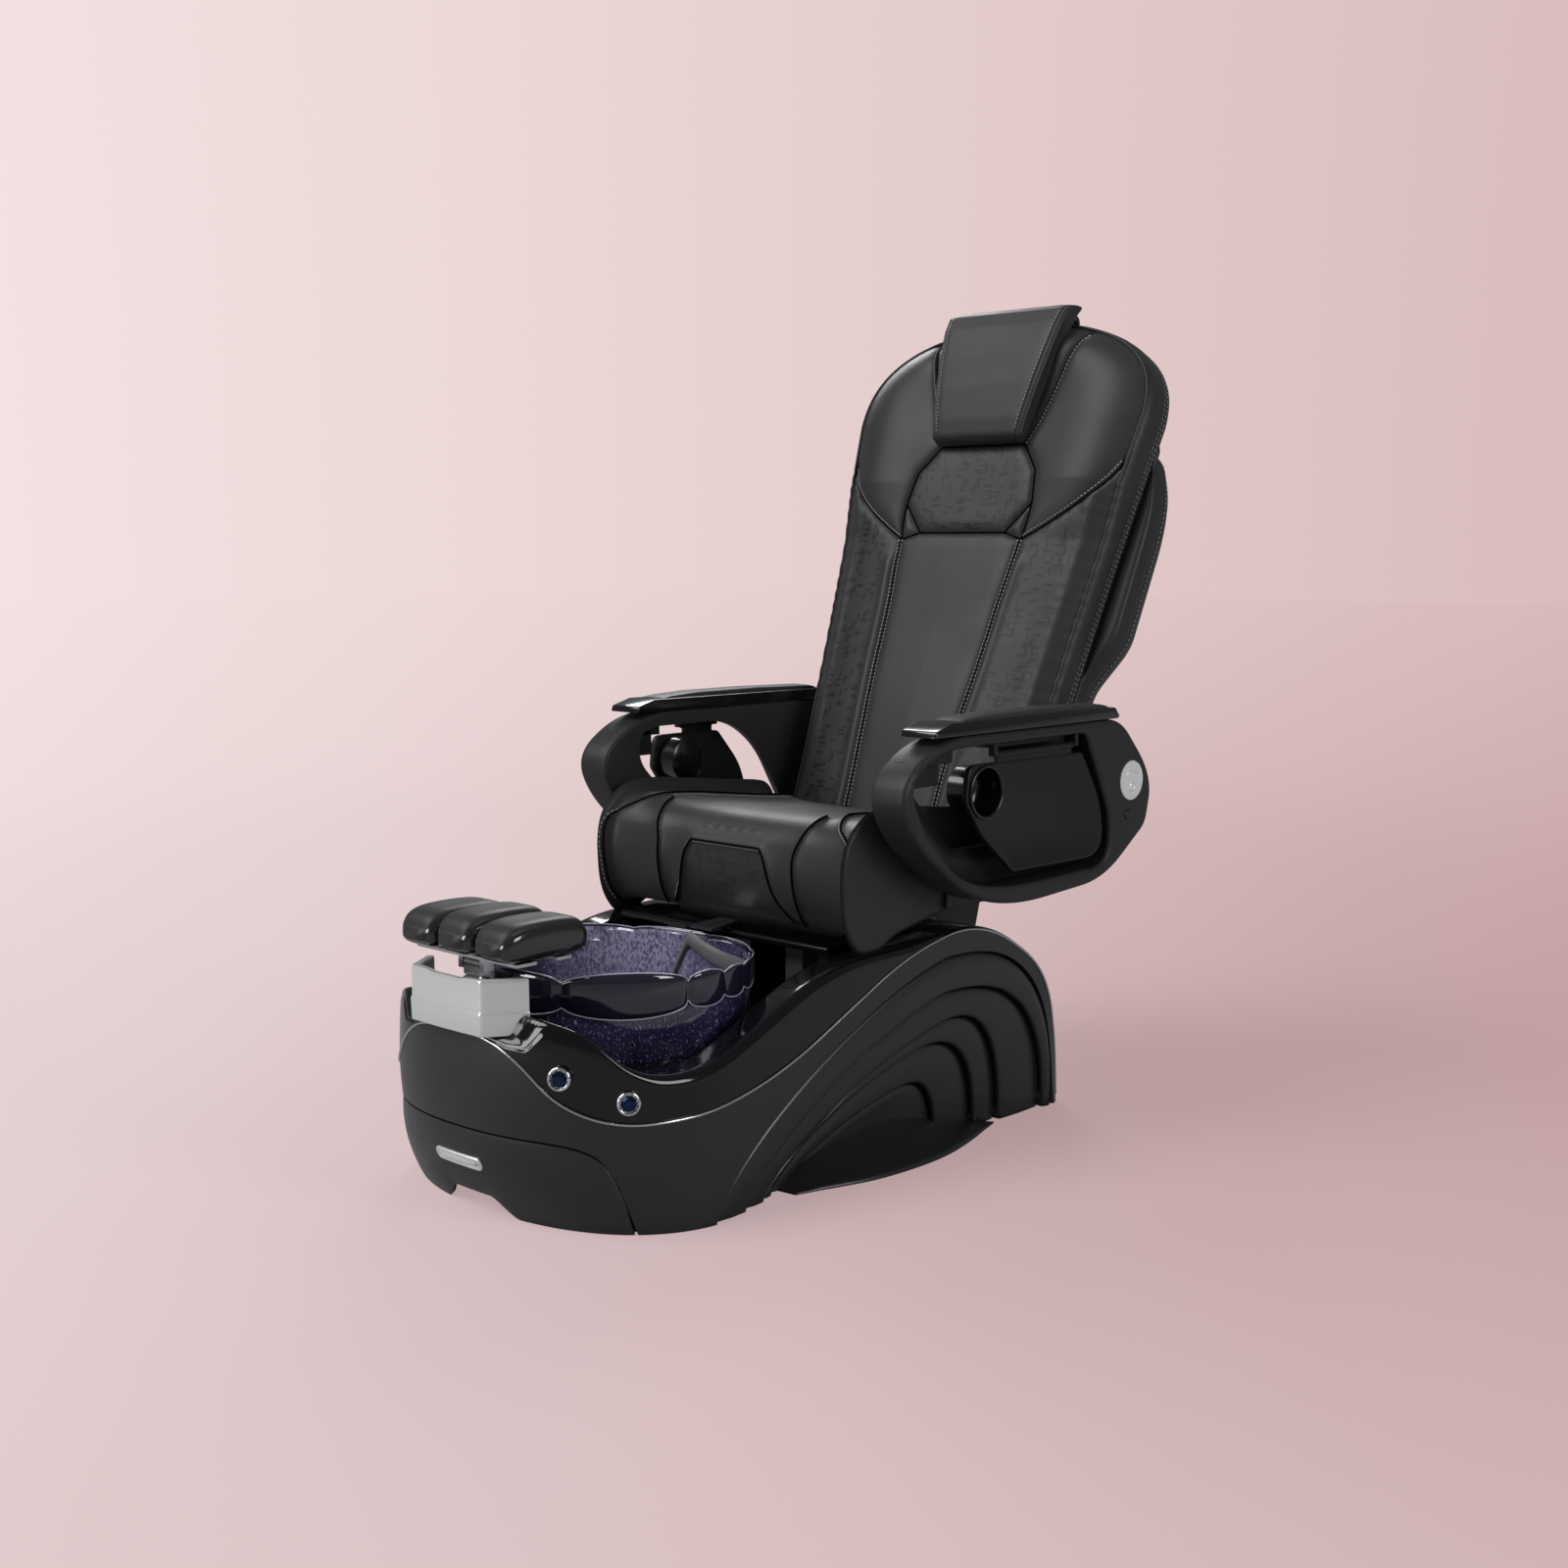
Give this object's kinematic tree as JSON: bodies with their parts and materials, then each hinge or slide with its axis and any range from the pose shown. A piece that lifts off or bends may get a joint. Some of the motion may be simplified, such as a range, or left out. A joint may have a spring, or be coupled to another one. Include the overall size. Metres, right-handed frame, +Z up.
{
  "type": "pedicure spa chair",
  "caption": "Reclining pedicure spa chair with a ruffled glass foot bowl, padded footrest, lift-up arms with flip-up side trays and a massage unit in its backrest.",
  "frame": {"origin": "on the floor, under the middle of the whole chair's box", "axes": "+Z up; -Y towards the footrest and bowl, +Y towards the backrest; +X towards the sitter's left"},
  "size_m": [0.82, 1.5466, 1.54],
  "materials": {
    "satin_shell": "satin",
    "gloss_cover": "gloss",
    "silver_plate": "satin",
    "trim_bead": "polished",
    "chrome_cap": "polished",
    "bowl_glass": "gloss",
    "painted_frame": "satin",
    "polished_steel": "polished",
    "jet_plastic": "gloss",
    "black_plastic": "matte",
    "pipe_plastic": "matte",
    "brass_fitting": "satin",
    "zinc_steel": "satin",
    "chrome_knob": "polished",
    "upholstery": "satin",
    "plywood": "matte",
    "bracket_paint": "satin",
    "shell_upholstery": "satin",
    "roller_plastic": "satin",
    "arm_plastic": "matte",
    "gloss_cap": "gloss",
    "arm_pad_foam": "satin",
    "silver_disc": "satin",
    "button_plastic": "satin",
    "tray_plastic": "satin",
    "cup_gloss": "gloss"
  },
  "bodies": {
    "base": {"lower_shell": "satin_shell", "front_panel": "satin_shell", "badge_plate": "silver_plate", "surround": "gloss_cover", "rear_cover": "gloss_cover", "side_panel_left": "satin_shell", "side_panel_right": "satin_shell", "trim_strips": "trim_bead", "nose_cap": "chrome_cap", "glass_bowl": "bowl_glass", "bowl_support": "painted_frame", "footrest_socket": "polished_steel", "jet_housing": "jet_plastic", "jet_motor": "black_plastic", "drain_flange": "polished_steel", "drain_pipe": "pipe_plastic", "spout": "polished_steel", "water_inlets": "brass_fitting", "power_inlet": "black_plastic", "base_frame": "painted_frame", "deck_posts": "painted_frame", "levelling_feet": "black_plastic", "pedestal": "black_plastic", "slide_rails": "zinc_steel"},
    "impeller": {"jet_impeller": "jet_plastic"},
    "jet_control": {"jet_knob": "chrome_knob"},
    "water_control": {"water_knob": "chrome_knob"},
    "footrest_column": {"footrest_post": "polished_steel"},
    "footrest_head": {"footrest_bracket": "polished_steel", "footrest_pad_left": "upholstery", "footrest_pad_middle": "upholstery", "footrest_pad_right": "upholstery"},
    "seat": {"slide_carriage": "zinc_steel", "seat_pan": "plywood", "seat_cushion": "upholstery", "recline_motor": "black_plastic", "side_bracket_left": "bracket_paint", "side_bracket_right": "bracket_paint"},
    "backrest": {"back_frame": "painted_frame", "back_cushion": "upholstery", "back_shell": "shell_upholstery", "massage_rails": "zinc_steel"},
    "massage_unit": {"massage_carriage": "black_plastic", "massage_rollers": "roller_plastic"},
    "headrest": {"head_pillow": "upholstery"},
    "armrest_left": {"arm_left": "arm_plastic", "arm_cap_left": "gloss_cap", "arm_pad_left": "arm_pad_foam", "arm_disc_left": "silver_disc"},
    "armrest_right": {"arm_right": "arm_plastic", "arm_cap_right": "gloss_cap", "arm_pad_right": "arm_pad_foam", "arm_disc_right": "silver_disc"},
    "button_left": {"release_button_left": "button_plastic"},
    "button_right": {"release_button_right": "button_plastic"},
    "side_tray_left": {"tray_left": "tray_plastic", "tray_cup_left": "cup_gloss"},
    "side_tray_right": {"tray_right": "tray_plastic", "tray_cup_right": "cup_gloss"}
  },
  "joints": [
    {"name": "impeller_spin", "type": "hinge", "parent": "base", "child": "impeller", "pos_m": [-0.199, -0.4253, 0.224], "axis": [0.8746, 0, 0.4848], "continuous": true},
    {"name": "jet_knob_turn", "type": "hinge", "parent": "base", "child": "jet_control", "pos_m": [0.205, -0.7153, 0.254], "axis": [0.5433, -0.8366, 0.0698], "range_deg": [0, 90]},
    {"name": "water_knob_turn", "type": "hinge", "parent": "base", "child": "water_control", "pos_m": [0.278, -0.6433, 0.215], "axis": [0.8172, -0.5722, 0.0698], "range_deg": [0, 180]},
    {"name": "footrest_height", "type": "slide", "parent": "base", "child": "footrest_column", "axis": [0, 0, 1], "range_m": [0, 0.06]},
    {"name": "footrest_tilt", "type": "hinge", "parent": "footrest_column", "child": "footrest_head", "pos_m": [0, -0.7123, 0.403], "axis": [1, 0, 0], "range_deg": [-12, 15]},
    {"name": "seat_slide", "type": "slide", "parent": "base", "child": "seat", "axis": [0, 1, 0], "range_m": [-0.05, 0.03]},
    {"name": "back_recline", "type": "hinge", "parent": "seat", "child": "backrest", "pos_m": [0, 0.3597, 0.462], "axis": [-1, 0, 0], "range_deg": [0, 26]},
    {"name": "massage_travel", "type": "slide", "parent": "backrest", "child": "massage_unit", "axis": [0, 0.3714, 0.9285], "range_m": [-0.1, 0.4]},
    {"name": "pillow_flip", "type": "hinge", "parent": "backrest", "child": "headrest", "pos_m": [0, 0.74289, 1.49957], "axis": [-1, 0, 0], "range_deg": [0, 100]},
    {"name": "arm_left_lift", "type": "hinge", "parent": "seat", "child": "armrest_left", "pos_m": [0.367, 0.5227, 0.617], "axis": [-1, 0, 0], "range_deg": [0, 40]},
    {"name": "arm_right_lift", "type": "hinge", "parent": "seat", "child": "armrest_right", "pos_m": [-0.367, 0.5227, 0.617], "axis": [-1, 0, 0], "range_deg": [0, 40]},
    {"name": "button_left_press", "type": "slide", "parent": "armrest_left", "child": "button_left", "axis": [-1, 0, 0], "range_m": [0, 0.003], "stiffness_N_per_m": 500, "springref_m": -0.002},
    {"name": "button_right_press", "type": "slide", "parent": "armrest_right", "child": "button_right", "axis": [1, 0, 0], "range_m": [0, 0.003], "stiffness_N_per_m": 500, "springref_m": -0.002},
    {"name": "tray_left_flip", "type": "hinge", "parent": "armrest_left", "child": "side_tray_left", "pos_m": [0.393, 0.2297, 0.697], "axis": [0, -1, 0], "range_deg": [0, 90]},
    {"name": "tray_right_flip", "type": "hinge", "parent": "armrest_right", "child": "side_tray_right", "pos_m": [-0.393, 0.1577, 0.697], "axis": [0, 1, 0], "range_deg": [0, 90]}
  ]
}
